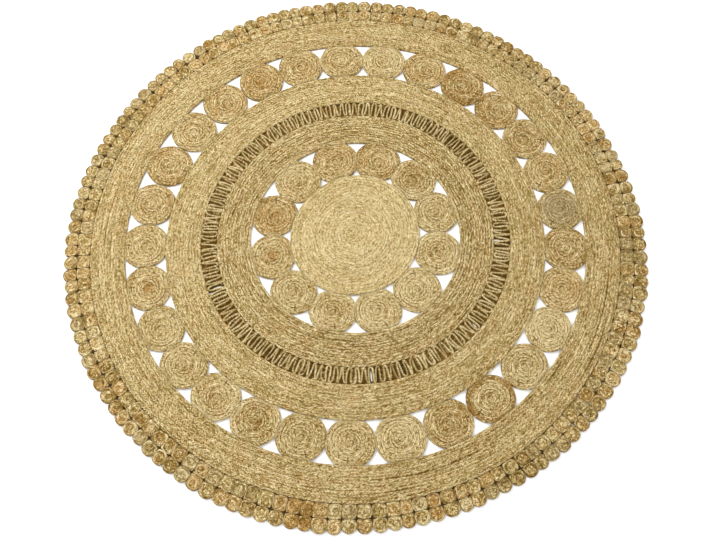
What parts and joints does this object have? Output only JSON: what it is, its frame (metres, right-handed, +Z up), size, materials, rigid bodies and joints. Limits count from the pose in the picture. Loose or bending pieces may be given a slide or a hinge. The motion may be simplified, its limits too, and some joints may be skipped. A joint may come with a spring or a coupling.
{
  "type": "round jute rug",
  "caption": "Flat round floor rug of braided natural jute: sewn bands, rings of coiled medallions with open gaps, an openwork zigzag ring and a scalloped border of coils.",
  "frame": {"origin": "middle of the underside, on the floor", "axes": "+Z up, out of the rug's face; +X to the right and +Y away from the viewer in the picture"},
  "size_m": [1.5087, 1.5087, 0.008],
  "materials": {
    "centre_braid": "pale straw jute braid, matt",
    "medallion_braid": "golden jute braid, matt, from pale straw to brown",
    "band_braid": "golden jute braid, matt, with dark flecks along the grooves",
    "openwork_cord": "thin jute cord, matt",
    "border_braid": "golden-brown jute braid, matt"
  },
  "bodies": {
    "root": {"centre_coil": "centre_braid", "inner_medallion_01": "medallion_braid", "inner_medallion_02": "medallion_braid", "inner_medallion_03": "medallion_braid", "inner_medallion_04": "medallion_braid", "inner_medallion_05": "medallion_braid", "inner_medallion_06": "medallion_braid", "inner_medallion_07": "medallion_braid", "inner_medallion_08": "medallion_braid", "inner_medallion_09": "medallion_braid", "inner_medallion_10": "medallion_braid", "inner_medallion_11": "medallion_braid", "inner_medallion_12": "medallion_braid", "inner_band": "band_braid", "zigzag_cord": "openwork_cord", "middle_band": "band_braid", "outer_medallion_01": "medallion_braid", "outer_medallion_02": "medallion_braid", "outer_medallion_03": "medallion_braid", "outer_medallion_04": "medallion_braid", "outer_medallion_05": "medallion_braid", "outer_medallion_06": "medallion_braid", "outer_medallion_07": "medallion_braid", "outer_medallion_08": "medallion_braid", "outer_medallion_09": "medallion_braid", "outer_medallion_10": "medallion_braid", "outer_medallion_11": "medallion_braid", "outer_medallion_12": "medallion_braid", "outer_medallion_13": "medallion_braid", "outer_medallion_14": "medallion_braid", "outer_medallion_15": "medallion_braid", "outer_medallion_16": "medallion_braid", "outer_medallion_17": "medallion_braid", "outer_medallion_18": "medallion_braid", "outer_medallion_19": "medallion_braid", "outer_medallion_20": "medallion_braid", "outer_medallion_21": "medallion_braid", "outer_medallion_22": "medallion_braid", "outer_medallion_23": "medallion_braid", "outer_medallion_24": "medallion_braid", "outer_medallion_25": "medallion_braid", "outer_medallion_26": "medallion_braid", "outer_medallion_27": "medallion_braid", "outer_medallion_28": "medallion_braid", "outer_medallion_29": "medallion_braid", "outer_band": "band_braid", "border_row_inner": "border_braid", "border_row_outer": "border_braid"}
  },
  "joints": []
}
